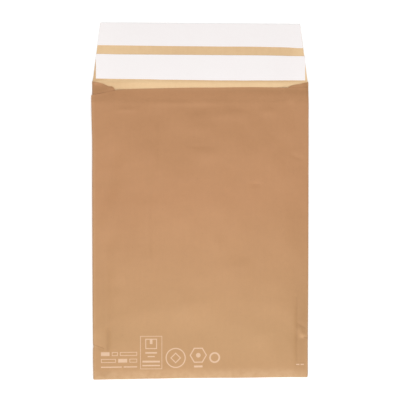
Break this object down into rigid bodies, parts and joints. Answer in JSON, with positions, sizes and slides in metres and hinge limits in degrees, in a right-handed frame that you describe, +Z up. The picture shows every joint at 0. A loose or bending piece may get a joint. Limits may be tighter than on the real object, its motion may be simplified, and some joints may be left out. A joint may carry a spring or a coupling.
{
  "type": "padded envelope",
  "caption": "Open side-gusseted padded envelope of brown paper with an embossed paper cushion liner and release strips on its flap.",
  "frame": {"origin": "under the middle of the outline, on the surface that the envelope rests on", "axes": "+X to the right seen from the front panel, +Y from the bottom fold towards the flap's free edge, +Z up out of the front panel"},
  "size_m": [0.24, 0.3958, 0.0122],
  "materials": {
    "bag_paper": "matt brown paper, lighter on its inner side",
    "cushion_paper": "embossed soft brown paper",
    "adhesive": "dull hot-melt film",
    "release_paper": "smooth white release paper with a faint sheen"
  },
  "bodies": {
    "root": {"outer_bag": "bag_paper", "cushion_liner": "cushion_paper", "return_adhesive": "adhesive", "closing_adhesive": "adhesive", "return_release_strip": "release_paper", "closing_release_strip": "release_paper"}
  },
  "joints": []
}
